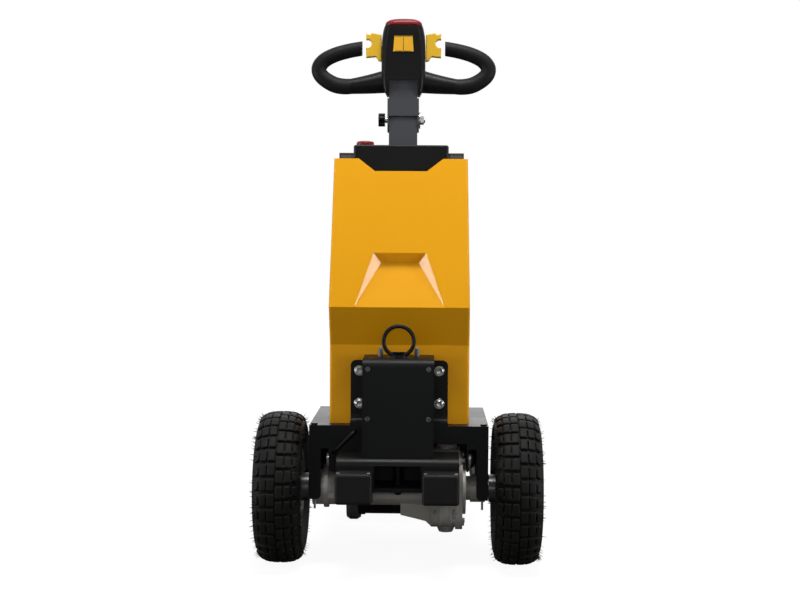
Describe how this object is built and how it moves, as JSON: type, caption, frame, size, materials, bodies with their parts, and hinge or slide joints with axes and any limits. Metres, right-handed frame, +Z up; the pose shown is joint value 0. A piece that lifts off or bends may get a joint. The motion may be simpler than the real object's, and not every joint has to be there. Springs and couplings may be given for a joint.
{
  "type": "pedestrian electric tow tug",
  "caption": "Walk-behind electric baggage tow tug: folded yellow cover, pneumatic drive wheels, pin hitch with buffers, swivel casters and an upright loop tiller.",
  "frame": {"origin": "on the floor, under the middle of the machine's box", "axes": "+X across, +Y from the hitch to the operator, +Z up"},
  "size_m": [0.608, 0.692, 1.2035],
  "materials": {
    "cover_paint": "smooth powder coat",
    "frame_paint": "fine textured powder coat",
    "grey_paint": "satin powder coat",
    "zinc": "zinc plated",
    "steel": "turned steel",
    "pin_steel": "blackened steel",
    "cast_aluminium": "as cast",
    "motor_paint": "matt black",
    "black_plastic": "fine grained",
    "battery_case": "matt",
    "grip_rubber": "soft matt",
    "block_rubber": "moulded",
    "tyre": "treaded",
    "caster_rubber": "smooth",
    "rim_paint": "silver paint",
    "yellow_plastic": "satin",
    "red_plastic": "satin",
    "label": "printed film"
  },
  "bodies": {
    "frame": {"front_beam": "frame_paint", "legs": "frame_paint", "rails": "frame_paint", "caster_tops": "zinc", "rear_deck": "frame_paint", "caster_plate": "frame_paint", "leg_bolts": "zinc", "beam_caps": "zinc", "hitch_plate": "frame_paint", "plate_bolts": "zinc", "hitch_tower": "frame_paint", "hitch_studs": "zinc", "hitch_bumper": "frame_paint", "buffer_blocks": "block_rubber", "axle_housing": "cast_aluminium", "gear_case": "cast_aluminium", "gear_cover": "cast_aluminium", "drive_motor": "motor_paint", "body_cover": "cover_paint", "rear_housing": "grey_paint", "console": "black_plastic", "stop_button": "red_plastic", "key_switch": "black_plastic", "battery_pack": "battery_case", "tiller_post": "grey_paint", "pivot_bolt": "zinc", "clamp_knob": "black_plastic", "motor_cable": "black_plastic", "cable_grommets": "block_rubber"},
    "wheel_left": {"tyre_left": "tyre", "rim_left": "rim_paint", "hub_left": "steel"},
    "wheel_right": {"tyre_right": "tyre", "rim_right": "rim_paint", "hub_right": "steel"},
    "caster_left": {"caster_fork_left": "zinc"},
    "caster_right": {"caster_fork_right": "zinc"},
    "caster_roller_left": {"caster_wheel_left": "caster_rubber"},
    "caster_roller_right": {"caster_wheel_right": "caster_rubber"},
    "tiller": {"tiller_sleeve": "grey_paint", "tiller_tube": "grey_paint", "tiller_head": "black_plastic", "grip_left": "grip_rubber", "grip_right": "grip_rubber", "paddle_left": "yellow_plastic", "paddle_right": "yellow_plastic", "belly_button": "red_plastic", "label_plate": "label"},
    "tow_pin": {"tow_pin": "pin_steel"}
  },
  "joints": [
    {"name": "wheel_left_spin", "type": "hinge", "parent": "frame", "child": "wheel_left", "pos_m": [-0.253, -0.151, 0.163], "axis": [1, 0, 0], "continuous": true},
    {"name": "wheel_right_spin", "type": "hinge", "parent": "frame", "child": "wheel_right", "pos_m": [0.253, -0.151, 0.163], "axis": [1, 0, 0], "continuous": true},
    {"name": "caster_left_swivel", "type": "hinge", "parent": "frame", "child": "caster_left", "pos_m": [-0.1205, 0.269, 0.121], "axis": [0, 0, 1], "continuous": true},
    {"name": "caster_right_swivel", "type": "hinge", "parent": "frame", "child": "caster_right", "pos_m": [0.1205, 0.269, 0.121], "axis": [0, 0, 1], "continuous": true},
    {"name": "caster_left_roll", "type": "hinge", "parent": "caster_left", "child": "caster_roller_left", "pos_m": [-0.1205, 0.296, 0.05], "axis": [1, 0, 0], "continuous": true},
    {"name": "caster_right_roll", "type": "hinge", "parent": "caster_right", "child": "caster_roller_right", "pos_m": [0.1205, 0.296, 0.05], "axis": [1, 0, 0], "continuous": true},
    {"name": "tiller_tilt", "type": "hinge", "parent": "frame", "child": "tiller", "pos_m": [0, 0.084, 0.972], "axis": [-1, 0, 0], "range_deg": [-15, 60]},
    {"name": "tow_pin_lift", "type": "slide", "parent": "frame", "child": "tow_pin", "axis": [0, 0, 1], "range_m": [0, 0.08]}
  ]
}
